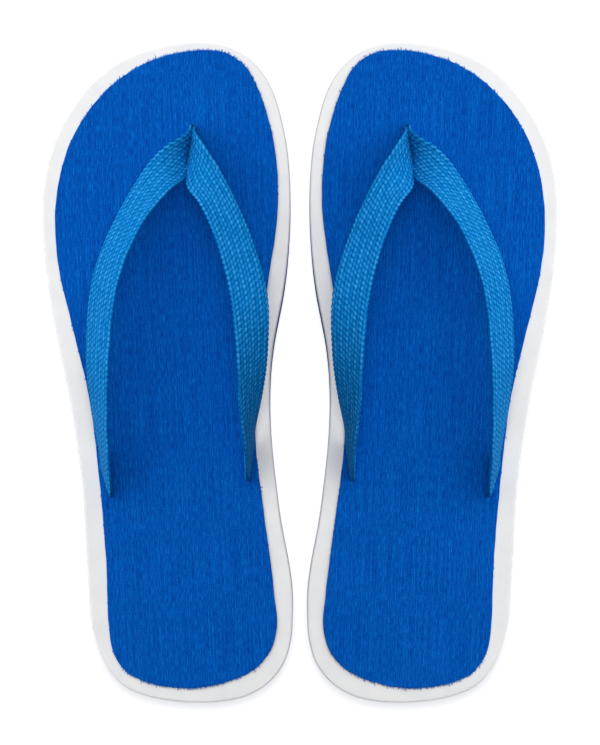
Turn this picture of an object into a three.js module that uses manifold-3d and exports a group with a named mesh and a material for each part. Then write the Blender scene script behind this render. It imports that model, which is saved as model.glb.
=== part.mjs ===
// A pair of flip flops with webbing thong straps, in millimetres.
// +Y points to the toes, +X to the wearer's right, +Z up. The origin is on the ground, midway
// between the two shoes. Everything is worked out for the left shoe; the right one mirrors it.

import * as THREE from 'three';
import { mergeVertices } from 'three/addons/utils/BufferGeometryUtils.js';
import Module from 'manifold-3d';

const wasm = await Module();
wasm.setup();

// ---- Driving dimensions ----

const OUTSOLE_THICKNESS = 3.5;
const MIDSOLE_THICKNESS = 5.5;
const FOOTBED_THICKNESS = 6;
const TOPSHEET_THICKNESS = 1;
const WALL_FLARE = 0.5; // how much wider the two lower layers are than the footbed
const EDGE_ROUNDING = 0.8; // of the sole's upper and lower rims
const OUTLINE_STEPS = 64;

const WEBBING_WIDTH = 15;
const WEBBING_THICKNESS = 1.6;
const SELVEDGE_ROUNDING = 0.4;
const STEPS_PER_ROW = 3;
const GAP = 0.3; // clearance between pieces that meet

const ANCHOR_LENGTH = 20; // along its slots
const ANCHOR_THICKNESS = 2.2;
const ANCHOR_UNDERSIDE = 3; // height of the anchor plate above the ground
const ANCHOR_RIM = 1.8; // plate left outside the outermost slot
const ANCHOR_BAR = 3; // the bar that the webbing wraps, between two slots
const ANCHOR_CORNER = 3;
const SLOT_LENGTH = WEBBING_WIDTH + 2 * GAP;
const SLOT_WIDTH = WEBBING_THICKNESS + 2 * GAP;
const SLOT_LEAD = 2.4; // how far the webbing stands straight up out of a slot
const WRAP_RADIUS = WEBBING_THICKNESS / 2 + GAP; // of the webbing's middle round the bar's corners

const THREAD_DIAMETER = 0.9;
const STITCH_PITCH = 3.2;
const STITCH_COUNT = 4;

// Heights of the layers above the ground.
const MIDSOLE_BOTTOM = OUTSOLE_THICKNESS;
const FOOTBED_BOTTOM = MIDSOLE_BOTTOM + MIDSOLE_THICKNESS;
const FOOTBED_TOP = FOOTBED_BOTTOM + FOOTBED_THICKNESS;
const SOLE_TOP = FOOTBED_TOP + TOPSHEET_THICKNESS;
const RECESS_CEILING = ANCHOR_UNDERSIDE + ANCHOR_THICKNESS + GAP;

// Outline of the footbed, anticlockwise from the toe: [x, y].
const FOOTBED_OUTLINE = [
  [-40, 131.7], [-64, 127.6], [-81, 117.5], [-96, 96.5], [-102, 75],
  [-101.5, 46], [-97, 17], [-91, -13], [-86.5, -45], [-84.3, -80],
  [-81.5, -106], [-71, -124.5], [-45, -131.55], [-19, -128], [-6.5, -115.5],
  [-3.4, -90], [-8.8, -55], [-12.3, -20], [-11.6, 5], [-6, 38],
  [-4.3, 70], [-6.5, 95], [-13.5, 117], [-24.5, 128],
];

// Outline of the fabric topsheet, which leaves a rim of footbed showing all round.
const TOPSHEET_OUTLINE = [
  [-39, 129], [-60, 124.6], [-78, 112.5], [-91.5, 93], [-97.5, 70],
  [-97, 45], [-91, 18], [-84.4, -10], [-80.6, -40], [-77.6, -75],
  [-76.2, -104], [-73.4, -115], [-66, -122], [-44, -126.3], [-24, -121.8],
  [-14.8, -115.6], [-9.6, -105], [-10.6, -86], [-14.6, -55], [-17.6, -30],
  [-18.2, -12], [-17.5, 8], [-12.5, 38], [-8.8, 68], [-10.8, 94], [-17.2, 114.5],
  [-21.4, 122], [-28, 127.2],
];

// Where the webbing goes down through the sole. The slot runs along `run`, which is the direction
// from the webbing's outer edge to its inner edge, in degrees from +X towards +Y.
const TOE_SLOT = { x: -43.8, y: 91.8, run: -100 };
const LATERAL_SLOT = { x: -77.4, y: -42.3, run: -74 };
const MEDIAL_SLOT = { x: -20.1, y: -35.9, run: -97 };

// The webbing's middle line between its two slots, from the toe to the heel. Each row holds x, y,
// the height above the topsheet, and the way from the outer to the inner edge as a compass
// direction and an upward slope, both in degrees.
const LATERAL_ROUTE = [
  [-45.4, 90, 6, -100, -14],
  [-47.3, 87, 10, -96, -12],
  [-49.9, 83.9, 12.2, -82, -3],
  [-52, 81.1, 14, -67, 15],
  [-55, 77.8, 16.5, -60, 28],
  [-58.7, 73, 19, -54, 35],
  [-67.2, 59.4, 24.6, -27, 44],
  [-75.8, 38, 28.2, -18, 44],
  [-79.4, 8, 27, -4, 50],
  [-79, -16, 20, 5, 66],
  [-78, -30, 13.4, -8, 74],
  [-77.4, -38, 8.2, -68, 42],
];
const MEDIAL_ROUTE = [
  [-42.8, 89.8, 6, -100, -12],
  [-41.9, 87, 10.2, -104, -16],
  [-40.7, 84, 12.6, -112, -24],
  [-39.5, 80.6, 14.6, -130, -20],
  [-37.6, 75.8, 17.4, -142, 12],
  [-33.6, 69.4, 21.4, -147, 28],
  [-25.9, 52, 28.2, -161, 25],
  [-20.1, 31, 32, -170, 14],
  [-18.7, 8.4, 30, 178, 36],
  [-19.4, -12, 21.8, 172, 60],
  [-19.9, -24, 14.6, -176, 76],
  [-20.1, -31.6, 8.4, -104, 44],
];

const COLOURS = {
  topsheet: { color: 0x034fae, roughness: 0.9, metalness: 0 },
  footbed: { color: 0xebebf0, roughness: 0.75, metalness: 0 },
  midsole: { color: 0x1b2f63, roughness: 0.8, metalness: 0 },
  outsole: { color: 0x16264f, roughness: 0.85, metalness: 0 },
  webbing: { color: 0x2f8fd0, roughness: 0.85, metalness: 0 },
  anchor: { color: 0x22345f, roughness: 0.45, metalness: 0 },
  thread: { color: 0x2a7fc4, roughness: 0.8, metalness: 0 },
};

// ---- Solids and their booleans ----

function toSolid(geometry) {
  const bare = geometry.clone();
  bare.deleteAttribute('normal');
  bare.deleteAttribute('uv');
  const merged = mergeVertices(bare, 1e-5);
  const vertProperties = new Float32Array(merged.attributes.position.array);
  const triVerts = new Uint32Array(merged.index.array);
  return new wasm.Manifold(new wasm.Mesh({ numProp: 3, vertProperties, triVerts }));
}

function toGeometry(solid) {
  const { vertProperties, triVerts } = solid.getMesh();
  const geometry = new THREE.BufferGeometry();
  geometry.setAttribute('position', new THREE.BufferAttribute(vertProperties, 3));
  geometry.setIndex(new THREE.BufferAttribute(triVerts, 1));
  return geometry;
}

function cut(geometry, cutters) {
  let solid = toSolid(geometry);
  for (const cutter of cutters) {
    solid = solid.subtract(toSolid(cutter));
  }
  return toGeometry(solid);
}

// ---- The sole's layers ----

function smoothOutline(corners) {
  const points = corners.map(([x, y]) => new THREE.Vector3(x, y, 0));
  const curve = new THREE.CatmullRomCurve3(points, true, 'centripetal');
  return curve.getSpacedPoints(OUTLINE_STEPS).slice(0, -1).map((p) => new THREE.Vector2(p.x, p.y));
}

function grow(outline, distance) {
  const count = outline.length;
  return outline.map((point, i) => {
    const before = outline[(i + count - 1) % count];
    const after = outline[(i + 1) % count];
    const along = after.clone().sub(before).normalize();
    return new THREE.Vector2(point.x + along.y * distance, point.y - along.x * distance);
  });
}

function slab(outline, bottom, top) {
  const geometry = new THREE.ExtrudeGeometry(new THREE.Shape(outline), {
    depth: top - bottom,
    bevelEnabled: false,
  });
  return geometry.translate(0, 0, bottom);
}

// A slab with both rims rounded over, inside its outline.
function softSlab(outline, bottom, top, rounding) {
  const geometry = new THREE.ExtrudeGeometry(new THREE.Shape(outline), {
    depth: top - bottom - 2 * rounding,
    bevelSize: rounding,
    bevelOffset: -rounding,
    bevelThickness: rounding,
    bevelSegments: 2,
  });
  return geometry.translate(0, 0, bottom + rounding);
}

// ---- Slots, recesses and anchor plates ----

// Places a geometry modelled round the origin, slot along local X, at a slot of the sole.
function atSlot(geometry, slot) {
  geometry.rotateZ(THREE.MathUtils.degToRad(slot.run));
  return geometry.translate(slot.x, slot.y, 0);
}

function block(length, width, bottom, top, offset = 0) {
  return new THREE.BoxGeometry(length, width, top - bottom).translate(0, offset, (top + bottom) / 2);
}

function roundedPlate(length, width, corner, bottom, top, offset) {
  const [x, y, r] = [length / 2, width / 2, corner];
  const shape = new THREE.Shape();
  shape.absarc(x - r, y - r, r, 0, Math.PI / 2);
  shape.absarc(r - x, y - r, r, Math.PI / 2, Math.PI);
  shape.absarc(r - x, r - y, r, Math.PI, 1.5 * Math.PI);
  shape.absarc(x - r, r - y, r, 1.5 * Math.PI, 2 * Math.PI);
  const geometry = new THREE.ExtrudeGeometry(shape, {
    depth: top - bottom,
    bevelEnabled: false,
    curveSegments: 4,
  });
  return geometry.translate(0, offset, bottom);
}

// Offsets across the slot's run: where the webbing goes down, and where its tail comes up.
const PAIR_OFFSET = (WEBBING_THICKNESS + GAP) / 2;
const WRAP_SPAN = ANCHOR_BAR + SLOT_WIDTH;
const SINGLE_PLATE_WIDTH = WRAP_SPAN + SLOT_WIDTH + 2 * ANCHOR_RIM;
const TOE_PLATE_WIDTH = 2 * (PAIR_OFFSET + WRAP_SPAN) + SLOT_WIDTH + 2 * ANCHOR_RIM;

// The tails of the two heel-side anchors wrap towards the middle of the shoe.
const ANCHORS = [
  {
    name: 'toe',
    slot: TOE_SLOT,
    width: TOE_PLATE_WIDTH,
    middle: 0,
    throats: [-PAIR_OFFSET, PAIR_OFFSET],
  },
  {
    name: 'lateral',
    slot: LATERAL_SLOT,
    width: SINGLE_PLATE_WIDTH,
    middle: WRAP_SPAN / 2,
    throats: [0],
  },
  {
    name: 'medial',
    slot: MEDIAL_SLOT,
    width: SINGLE_PLATE_WIDTH,
    middle: -WRAP_SPAN / 2,
    throats: [0],
  },
];

function throughSlot({ slot, throats }) {
  const width = SLOT_WIDTH + throats[throats.length - 1] - throats[0];
  return atSlot(block(SLOT_LENGTH, width, -1, SOLE_TOP + 1), slot);
}

function recess({ slot, width, middle }) {
  const length = ANCHOR_LENGTH + 2 * GAP;
  const corner = ANCHOR_CORNER + GAP;
  return atSlot(roundedPlate(length, width + 2 * GAP, corner, -1, RECESS_CEILING, middle), slot);
}

function anchorPlate(anchor) {
  const top = ANCHOR_UNDERSIDE + ANCHOR_THICKNESS;
  const { slot, width, middle, throats } = anchor;
  const plate = roundedPlate(ANCHOR_LENGTH, width, ANCHOR_CORNER, ANCHOR_UNDERSIDE, top, middle);
  const wrapSides = throats.map((y) => Math.sign(y || middle));
  const tails = throats.map((y, i) => y + wrapSides[i] * WRAP_SPAN);
  const tailSlots = tails.map((y) => atSlot(block(SLOT_LENGTH, SLOT_WIDTH, -1, top + 1, y), slot));
  return cut(atSlot(plate, slot), [throughSlot(anchor), ...tailSlots]);
}

// ---- Webbing ----

function direction(azimuth, slope) {
  const [a, s] = [THREE.MathUtils.degToRad(azimuth), THREE.MathUtils.degToRad(slope)];
  return new THREE.Vector3(Math.cos(s) * Math.cos(a), Math.cos(s) * Math.sin(a), Math.sin(s));
}

// The webbing's middle line from just under the topsheet to the end of its tail: down the slot,
// under the anchor's bar and up again. `turn` is +1 or -1 for the side on which it wraps.
function tailRoute(slot, offset, turn) {
  const across = direction(slot.run + 90, 0);
  const corner = ANCHOR_UNDERSIDE;
  const span = WRAP_SPAN;
  const r = WRAP_RADIUS;
  const profile = [[0, FOOTBED_TOP], [0, FOOTBED_BOTTOM], [0, corner + r]];
  for (let i = 0; i <= 3; i++) {
    const angle = (i / 3) * (Math.PI / 2);
    profile.push([r - r * Math.cos(angle), corner - r * Math.sin(angle)]);
  }
  for (let i = 0; i <= 3; i++) {
    const angle = (i / 3) * (Math.PI / 2);
    profile.push([span - r + r * Math.sin(angle), corner - r * Math.cos(angle)]);
  }
  profile.push([span, ANCHOR_UNDERSIDE + ANCHOR_THICKNESS - GAP]);
  return profile.map(([out, z]) => {
    const point = new THREE.Vector3(slot.x, slot.y, z);
    return point.addScaledVector(across, offset + turn * out);
  });
}

// A strap that wraps to `side` under the toe, and to the other side, seen along its slot, under
// the heel end. `side` is -1 for the lateral strap and +1 for the medial one.
function strap(route, side, heelSlot) {
  const points = [];
  const widths = [];
  const toeTail = tailRoute(TOE_SLOT, side * PAIR_OFFSET, side).reverse();
  const heelTail = tailRoute(heelSlot, 0, -side);
  for (const point of toeTail) {
    points.push(point);
    widths.push(direction(TOE_SLOT.run, 0));
  }
  const [toeX, toeY] = toeTail.at(-1).toArray();
  const rows = [
    [toeX, toeY, 0, TOE_SLOT.run, 0],
    [toeX, toeY, SLOT_LEAD, TOE_SLOT.run, 0],
    ...route,
    [heelSlot.x, heelSlot.y, SLOT_LEAD, heelSlot.run, 0],
    [heelSlot.x, heelSlot.y, 0, heelSlot.run, 0],
  ];
  const places = rows.map(([x, y, z]) => new THREE.Vector3(x, y, SOLE_TOP + z));
  const edgewards = rows.map(([, , , azimuth, slope]) => direction(azimuth, slope));
  const middle = new THREE.CatmullRomCurve3(places, false, 'centripetal');
  const edgeward = new THREE.CatmullRomCurve3(edgewards, false, 'catmullrom');
  const steps = STEPS_PER_ROW * (rows.length - 1);
  for (let i = 0; i <= steps; i++) {
    points.push(middle.getPoint(i / steps));
    widths.push(edgeward.getPoint(i / steps));
  }
  for (const point of heelTail) {
    points.push(point);
    widths.push(direction(heelSlot.run, 0));
  }
  return band(points, widths);
}

// A closed band of webbing along a middle line, with the way to its inner edge at each point.
function band(points, widths) {
  const [w, t, r] = [WEBBING_WIDTH / 2, WEBBING_THICKNESS / 2, SELVEDGE_ROUNDING];
  const section = [
    [w, r - t], [w, t - r], [w - r, t], [r - w, t],
    [-w, t - r], [-w, r - t], [r - w, -t], [w - r, -t],
  ];
  const sides = section.length;
  const vertices = [];
  points.forEach((point, i) => {
    const before = points[Math.max(i - 1, 0)];
    const after = points[Math.min(i + 1, points.length - 1)];
    const along = after.clone().sub(before).normalize();
    const wide = widths[i].clone().addScaledVector(along, -widths[i].dot(along)).normalize();
    const thick = along.clone().cross(wide);
    for (const [a, b] of section) {
      vertices.push(...point.clone().addScaledVector(wide, a).addScaledVector(thick, b).toArray());
    }
  });
  const faces = [];
  for (let i = 0; i < points.length - 1; i++) {
    for (let j = 0; j < sides; j++) {
      const [a, b] = [i * sides + j, i * sides + ((j + 1) % sides)];
      faces.push(a, b, b + sides, a, b + sides, a + sides);
    }
  }
  const last = (points.length - 1) * sides;
  for (let j = 1; j < sides - 1; j++) {
    faces.push(0, j + 1, j, last, last + j, last + j + 1);
  }
  const geometry = new THREE.BufferGeometry();
  geometry.setAttribute('position', new THREE.Float32BufferAttribute(vertices, 3));
  geometry.setIndex(faces);
  return geometry;
}

// ---- The stitches that hold the two straps together above the toe slot ----

const STITCH_HEIGHT = SOLE_TOP + 3.4;
const CORNER_OVERLAP = THREAD_DIAMETER * 0.8; // of two straight runs of thread, where they meet
const STITCH_REACH = PAIR_OFFSET + WEBBING_THICKNESS / 2 + THREAD_DIAMETER / 2 + GAP;

function stitchPlaces() {
  return Array.from({ length: STITCH_COUNT }, (_, i) => (i - (STITCH_COUNT - 1) / 2) * STITCH_PITCH);
}

function stitchHoles() {
  return stitchPlaces().map((along) => {
    const radius = THREAD_DIAMETER / 2 + GAP;
    const hole = new THREE.CylinderGeometry(radius, radius, 2 * STITCH_REACH, 8);
    return atSlot(hole.translate(along, 0, STITCH_HEIGHT), TOE_SLOT);
  });
}

// One thread that runs to and fro through both straps.
function toeStitching() {
  const corners = stitchPlaces().flatMap((along, i) => {
    const start = i % 2 === 0 ? -STITCH_REACH : STITCH_REACH;
    return [new THREE.Vector3(along, start, 0), new THREE.Vector3(along, -start, 0)];
  });
  const rods = corners.slice(0, -1).map((start, i) => {
    const end = corners[i + 1];
    const length = start.distanceTo(end) + CORNER_OVERLAP;
    const rod = new THREE.CylinderGeometry(THREAD_DIAMETER / 2, THREAD_DIAMETER / 2, length, 8);
    if (end.x > start.x) {
      rod.rotateZ(Math.PI / 2);
    }
    return rod.translate((start.x + end.x) / 2, (start.y + end.y) / 2, STITCH_HEIGHT);
  });
  const joined = rods.map(toSolid).reduce((sum, rod) => sum.add(rod));
  return atSlot(toGeometry(joined), TOE_SLOT);
}

// ---- One shoe ----

function leftShoeParts() {
  const footbedOutline = smoothOutline(FOOTBED_OUTLINE);
  const lowerOutline = grow(footbedOutline, WALL_FLARE);
  const topsheetOutline = smoothOutline(TOPSHEET_OUTLINE);
  const slots = ANCHORS.map(throughSlot);
  const recesses = ANCHORS.map(recess);

  const belowFootbed = new THREE.BoxGeometry(400, 400, 10).translate(0, 0, FOOTBED_BOTTOM - 5);
  const roundedFootbed = softSlab(footbedOutline, FOOTBED_BOTTOM - 2, FOOTBED_TOP, EDGE_ROUNDING);
  const aboveOutsole = new THREE.BoxGeometry(400, 400, 10).translate(0, 0, MIDSOLE_BOTTOM + 5);
  const roundedOutsole = softSlab(lowerOutline, 0, MIDSOLE_BOTTOM + 2, EDGE_ROUNDING);

  const lateral = strap(LATERAL_ROUTE, -1, LATERAL_SLOT);
  const medial = strap(MEDIAL_ROUTE, 1, MEDIAL_SLOT);

  const topsheet = slab(topsheetOutline, FOOTBED_TOP, SOLE_TOP);
  const midsole = slab(lowerOutline, MIDSOLE_BOTTOM, FOOTBED_BOTTOM);

  const parts = {
    fabric_topsheet: [cut(topsheet, slots), COLOURS.topsheet],
    footbed_foam: [cut(roundedFootbed, [belowFootbed, ...slots]), COLOURS.footbed],
    midsole_foam: [cut(midsole, [...slots, ...recesses]), COLOURS.midsole],
    outsole: [cut(roundedOutsole, [aboveOutsole, ...recesses]), COLOURS.outsole],
    lateral_strap: [cut(lateral, stitchHoles()), COLOURS.webbing],
    medial_strap: [cut(medial, stitchHoles()), COLOURS.webbing],
    toe_stitching: [toeStitching(), COLOURS.thread],
  };
  for (const anchor of ANCHORS) {
    parts[`${anchor.name}_anchor_plate`] = [anchorPlate(anchor), COLOURS.anchor];
  }
  return parts;
}

// Mirrors a geometry in the plane x = 0 and turns its faces out again.
function mirrored(geometry) {
  const copy = geometry.clone().scale(-1, 1, 1);
  const index = copy.index.array;
  for (let i = 0; i < index.length; i += 3) {
    [index[i], index[i + 1]] = [index[i + 1], index[i]];
  }
  return copy;
}

const group = new THREE.Group();
for (const [name, [geometry, look]] of Object.entries(leftShoeParts())) {
  for (const side of ['left', 'right']) {
    const shape = side === 'left' ? geometry : mirrored(geometry);
    shape.computeVertexNormals();
    const mesh = new THREE.Mesh(shape, new THREE.MeshStandardMaterial(look));
    mesh.name = `${side}_${name}`;
    group.add(mesh);
  }
}

export default group;
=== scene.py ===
import math

import bmesh
import bpy
import numpy as np
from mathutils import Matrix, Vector
from mathutils.geometry import delaunay_2d_cdt


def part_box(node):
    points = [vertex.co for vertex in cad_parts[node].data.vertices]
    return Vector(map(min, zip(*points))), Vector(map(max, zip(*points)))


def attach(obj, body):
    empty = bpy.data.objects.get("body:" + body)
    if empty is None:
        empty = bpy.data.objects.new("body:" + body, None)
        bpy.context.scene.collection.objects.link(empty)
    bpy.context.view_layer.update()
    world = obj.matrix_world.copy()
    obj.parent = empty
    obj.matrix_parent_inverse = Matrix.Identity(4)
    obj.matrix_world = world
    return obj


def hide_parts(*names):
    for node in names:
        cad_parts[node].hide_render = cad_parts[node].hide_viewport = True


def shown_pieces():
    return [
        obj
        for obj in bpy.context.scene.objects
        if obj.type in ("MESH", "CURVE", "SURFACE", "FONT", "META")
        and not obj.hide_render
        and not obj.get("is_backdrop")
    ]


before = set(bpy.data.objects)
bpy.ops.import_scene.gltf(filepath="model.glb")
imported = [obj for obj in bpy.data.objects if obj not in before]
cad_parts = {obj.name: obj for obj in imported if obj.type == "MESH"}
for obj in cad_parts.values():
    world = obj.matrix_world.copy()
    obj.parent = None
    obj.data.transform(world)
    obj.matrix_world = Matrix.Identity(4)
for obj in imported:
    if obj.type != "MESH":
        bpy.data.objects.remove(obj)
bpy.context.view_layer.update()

MM = 0.001
SIDES = {"left": 1, "right": -1}  # what a left shoe's x is multiplied by
rng = np.random.default_rng(7)


def srgb(red, green, blue, alpha=1.0):
    """A colour given as 0 to 255 screen values, as linear light."""
    linear = [((c / 255 + 0.055) / 1.055) ** 2.4 if c > 10 else c / 3295 for c in (red, green, blue)]
    return (*linear, alpha)


# ---- Heights, read from the frame ----

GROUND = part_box("left_outsole")[0][2]
OUTSOLE_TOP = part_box("left_outsole")[1][2]
MIDSOLE_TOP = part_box("left_midsole_foam")[1][2]
FOOTBED_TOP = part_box("left_footbed_foam")[1][2]
SOLE_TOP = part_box("left_fabric_topsheet")[1][2]
PLATE_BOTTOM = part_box("left_toe_anchor_plate")[0][2]
PLATE_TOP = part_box("left_toe_anchor_plate")[1][2]

# ---- Camera: straight down on the pair, toes up ----

CAMERA_HEIGHT = 1.4  # above the topsheets, in metres
PHOTO_PIXEL = 0.4 * MM  # on the topsheets
PHOTO_SIZE = (600, 745)
SENSOR = 36.0

camera_data = bpy.data.cameras.new("camera")
camera_data.sensor_fit = "VERTICAL"
camera_data.sensor_height = SENSOR
camera_data.lens = SENSOR * CAMERA_HEIGHT / (PHOTO_SIZE[1] * PHOTO_PIXEL)
camera = bpy.data.objects.new("camera", camera_data)
camera.location = (0, 0, SOLE_TOP + CAMERA_HEIGHT)
bpy.context.collection.objects.link(camera)
bpy.context.scene.camera = camera


# ---- Material building ----

class Shader:
    """A Principled material with short calls for adding nodes to it."""

    def __init__(self, name, roughness, colour=None, **constants):
        self.material = bpy.data.materials.new(name)
        self.material.use_nodes = True
        self.nodes = self.material.node_tree.nodes
        self.links = self.material.node_tree.links
        self.surface = self.nodes["Principled BSDF"]
        self.surface.inputs["Roughness"].default_value = roughness
        if colour:
            self.surface.inputs["Base Color"].default_value = colour
        for socket, value in constants.items():
            self.surface.inputs[socket.replace("_", " ")].default_value = value

    def add(self, kind, settings=None, **inputs):
        """A node; inputs given as sockets are linked and the others are set."""
        node = self.nodes.new(kind)
        for key, value in (settings or {}).items():
            setattr(node, key, value)
        for key, value in inputs.items():
            socket = node.inputs[int(key[1:])] if key[0] == "_" else node.inputs[key.replace("_", " ")]
            if isinstance(value, bpy.types.NodeSocket):
                self.links.new(value, socket)
            else:
                socket.default_value = value
        return node

    def place(self, scale=(1, 1, 1), turn=0.0):
        """The piece's own coordinates in metres, turned about Z and then scaled."""
        where = self.add("ShaderNodeTexCoord").outputs["Object"]
        turned = self.add("ShaderNodeMapping", Vector=where, Rotation=(0, 0, turn))
        return self.add("ShaderNodeMapping", Vector=turned.outputs[0], Scale=scale).outputs[0]

    def noise(self, where, scale=1.0, detail=2.0, roughness=0.5):
        node = self.add("ShaderNodeTexNoise", Vector=where, Scale=scale, Detail=detail, Roughness=roughness)
        return node.outputs[0]

    def maths(self, operation, a, b=0.0):
        return self.add("ShaderNodeMath", {"operation": operation}, _0=a, _1=b).outputs[0]

    def mix(self, factor, a, b, blend="MIX"):
        node = self.add("ShaderNodeMix", {"data_type": "RGBA", "blend_type": blend})
        for socket, value in ((node.inputs[0], factor), (node.inputs[6], a), (node.inputs[7], b)):
            if isinstance(value, bpy.types.NodeSocket):
                self.links.new(value, socket)
            else:
                socket.default_value = value
        return node.outputs[2]

    def ramp(self, value, *stops):
        """A colour ramp; each stop is (position, colour)."""
        node = self.add("ShaderNodeValToRGB", Fac=value)
        elements = node.color_ramp.elements
        while len(elements) < len(stops):
            elements.new(0.5)
        for element, (position, colour) in zip(elements, stops):
            element.position = position
            element.color = colour
        return node.outputs[0]

    def colour(self, socket):
        self.links.new(socket, self.surface.inputs["Base Color"])

    def bump(self, height, distance, strength=1.0):
        """Adds a bump of `distance` metres on top of those already there."""
        node = self.add("ShaderNodeBump", Height=height, Distance=distance, Strength=strength)
        below = self.surface.inputs["Normal"]
        if below.is_linked:
            self.links.new(below.links[0].from_socket, node.inputs["Normal"])
        self.links.new(node.outputs[0], below)

    def vary_roughness(self, value, low, high):
        node = self.add("ShaderNodeMapRange", Value=value, To_Min=low, To_Max=high)
        self.links.new(node.outputs[0], self.surface.inputs["Roughness"])


CLOTH_LEAN = -2.5  # degrees that the yarns' coordinates are turned on the left shoe
YARN_SIZE = (0.3 * MM, 3.2 * MM)  # across and along the warp
SLUB_SIZE = (0.45 * MM, 30 * MM)
PICK_SIZE = (0.4 * MM, 0.5 * MM)
WARP_BAND = 0.65 * MM
WEFT_BAND = 0.5 * MM


def band_scale(pitch):
    """The scale at which Blender's wave texture repeats every `pitch`."""
    return 2 * math.pi / 20 / pitch


def fabric_material(side):
    """Matt blue cotton with fine lengthwise yarns, a little off the shoe's length."""
    shader = Shader(f"{side}_ribbed_cotton", 0.92, Specular_IOR_Level=0.04)
    lean = math.radians(CLOTH_LEAN) * SIDES[side]

    def streaks(size, roughness):
        across, along = size
        return shader.noise(shader.place((1 / across, 1 / along, 60), lean), roughness=roughness)

    yarns = streaks(YARN_SIZE, 0.6)
    slubs = streaks(SLUB_SIZE, 0.5)
    picks = streaks(PICK_SIZE, 0.6)
    cloudy = shader.noise(shader.place(), 22.0, 2.0)
    tone = shader.maths("MULTIPLY", yarns, 0.42)
    for part, share in ((slubs, 0.24), (picks, 0.32), (cloudy, 0.02)):
        tone = shader.maths("ADD", tone, shader.maths("MULTIPLY", part, share))
    shader.colour(shader.ramp(
        tone,
        (0.40, srgb(0, 58, 144)),
        (0.48, srgb(0, 77, 170)),
        (0.53, srgb(0, 88, 182)),
        (0.62, srgb(8, 112, 203)),
    ))
    threads = {"wave_type": "BANDS", "wave_profile": "SIN"}
    yarn = shader.place(turn=lean)
    lengthwise = shader.add("ShaderNodeTexWave", {**threads, "bands_direction": "X"}, Vector=yarn,
                            Scale=band_scale(WARP_BAND), Distortion=1.2, Detail=1.0)
    crosswise = shader.add("ShaderNodeTexWave", {**threads, "bands_direction": "Y"}, Vector=yarn,
                           Scale=band_scale(WEFT_BAND), Distortion=1.6, Detail=1.0)
    shader.bump(crosswise.outputs["Fac"], 0.04 * MM, 0.5)
    shader.bump(lengthwise.outputs["Fac"], 0.14 * MM, 0.9)
    shader.bump(yarns, 0.2 * MM, 0.7)
    shader.bump(picks, 0.2 * MM, 0.8)
    return shader.material


def foam_material(name, colour, worn, roughness):
    """Closed-cell foam: fine pores, faint mottling and a slightly rubbed look."""
    shader = Shader(name, roughness, Specular_IOR_Level=0.35)
    mottle = shader.noise(shader.place(), 90.0, 4.0, 0.6)
    shader.colour(shader.ramp(mottle, (0.35, worn), (0.62, colour)))
    pores = shader.add("ShaderNodeTexVoronoi", Vector=shader.place(), Scale=2600.0)
    shader.bump(pores.outputs["Distance"], 0.05 * MM, 0.35)
    shader.bump(shader.noise(shader.place(), 700.0, 3.0), 0.05 * MM, 0.5)
    shader.vary_roughness(mottle, roughness - 0.06, roughness + 0.08)
    return shader.material


FIBRES_PER_METRE = (900, 7000, 1)  # along and across the webbing


def webbing_material():
    """Azure webbing yarn, with painted highlight where a warp yarn rises and painted shade where it dives
    under the weft.
    """
    shader = Shader("azure_webbing", 0.8, Specular_IOR_Level=0.03)
    height = shader.add("ShaderNodeAttribute", {"attribute_name": "weave"}).outputs["Fac"]
    along = shader.add("ShaderNodeUVMap", {"uv_map": "yarn"}).outputs[0]
    fibre_place = shader.add("ShaderNodeMapping", Vector=along, Scale=FIBRES_PER_METRE).outputs[0]
    fibre = shader.noise(fibre_place, 1.0, 2.0, 0.6)
    patchy = shader.noise(shader.place(), 400.0, 2.0)
    # painted light: the weave height paints highlights on the float tops and shade in the grooves between
    # them, over the real relief; the patchy noise adds random tone
    lit = shader.maths("ADD", height, shader.maths("MULTIPLY", shader.maths("SUBTRACT", patchy, 0.5), 0.45))
    azure = shader.ramp(
        lit,
        (0.0, srgb(0, 62, 118)),
        (0.35, srgb(0, 95, 164)),
        (0.65, srgb(8, 121, 191)),
        (1.0, srgb(52, 150, 214)),
    )
    shader.colour(shader.mix(fibre, azure, shader.mix(1.0, azure, srgb(218, 228, 238), "MULTIPLY")))
    shader.bump(fibre, 0.05 * MM, 0.6)
    return shader.material


def thread_material():
    """Blue sewing thread with a slight gloss."""
    shader = Shader("sewing_thread", 0.7, Specular_IOR_Level=0.15)
    strands = shader.noise(shader.place(), 4000.0, 2.0)
    shader.colour(shader.ramp(strands, (0.3, srgb(6, 66, 136)), (0.7, srgb(20, 100, 178))))
    shader.bump(strands, 0.04 * MM, 0.6)
    return shader.material


def fray_material():
    """The cloth's own yarn, painted lighter than the cloth to offset the shade on the thin loose ends."""
    shader = Shader("frayed_yarn", 0.8, Sheen_Weight=0.1)
    tint = shader.noise(shader.place(), 2500.0, 1.0)
    # painted light: both colours sit lighter than the cloth's, standing in for light on the shaded yarn
    # ends; the noise tint is random
    shader.colour(shader.ramp(tint, (0.3, srgb(0, 92, 186)), (0.7, srgb(30, 132, 222))))
    return shader.material


def plate_material():
    """Moulded nylon with a fine spark-eroded grain."""
    shader = Shader("moulded_nylon", 0.48, Specular_IOR_Level=0.3)
    grain = shader.noise(shader.place(), 1800.0, 3.0)
    shader.colour(shader.ramp(grain, (0.3, srgb(24, 40, 86)), (0.7, srgb(34, 54, 104))))
    shader.bump(grain, 0.04 * MM, 0.5)
    shader.vary_roughness(grain, 0.36, 0.5)
    return shader.material


# ---- Mesh building ----

def add_piece(shoe, name, mesh, material):
    """Puts a mesh into the scene as a piece that rides on its shoe."""
    mesh.name = f"{shoe}_{name}"
    mesh.materials.append(material)
    piece = bpy.data.objects.new(mesh.name, mesh)
    bpy.context.collection.objects.link(piece)
    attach(piece, f"{shoe}_shoe")
    return piece


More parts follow.
